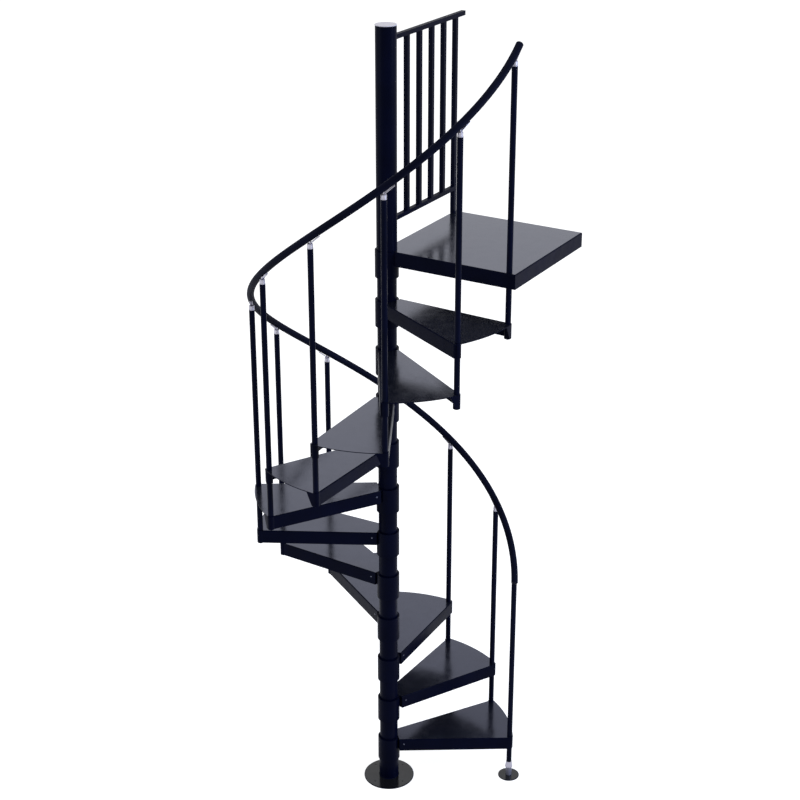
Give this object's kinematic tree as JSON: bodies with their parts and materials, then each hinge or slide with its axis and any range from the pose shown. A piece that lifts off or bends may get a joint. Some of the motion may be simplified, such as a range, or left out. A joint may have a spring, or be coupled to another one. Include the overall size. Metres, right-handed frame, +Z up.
{
  "type": "spiral staircase",
  "caption": "Steel spiral staircase with folded wedge treads on a centre pole, round balusters, a helical handrail, a square landing and a barred guard panel.",
  "frame": {"origin": "centre of the base plate's underside, on the pole axis at floor level", "axes": "+Z up along the pole; +X from the pole to the first baluster; the stair climbs anticlockwise seen from above"},
  "size_m": [1.4745, 1.22, 3.7142],
  "materials": {
    "black_powder_coat": "satin black powder coat on steel",
    "tread_black": "fine textured black powder coat that greys under light",
    "baluster_black": "semi-gloss black powder coat on round tube",
    "rail_grip": "matte charcoal coat on round tube",
    "bright_metal": "bright zinc-plated fittings",
    "pale_cap": "smooth pale grey cap"
  },
  "bodies": {
    "root": {"baluster_01": "baluster_black", "baluster_02": "baluster_black", "baluster_03": "baluster_black", "baluster_04": "baluster_black", "baluster_05": "baluster_black", "baluster_06": "baluster_black", "baluster_07": "baluster_black", "baluster_08": "baluster_black", "baluster_09": "baluster_black", "baluster_10": "baluster_black", "baluster_11": "baluster_black", "baluster_12": "baluster_black", "base_plate": "black_powder_coat", "centre_pole": "black_powder_coat", "foot_plate": "black_powder_coat", "foot_stem": "bright_metal", "guard_panel": "black_powder_coat", "handrail": "rail_grip", "landing": "black_powder_coat", "newel_sleeve": "black_powder_coat", "pole_cap": "pale_cap", "rail_brackets": "bright_metal", "rail_end_plugs": "rail_grip", "spacer_sleeves": "black_powder_coat", "tread_01": "tread_black", "tread_02": "tread_black", "tread_03": "tread_black", "tread_04": "tread_black", "tread_05": "tread_black", "tread_06": "tread_black", "tread_07": "tread_black", "tread_08": "tread_black", "tread_09": "tread_black", "tread_10": "tread_black", "tread_11": "tread_black"}
  },
  "joints": []
}
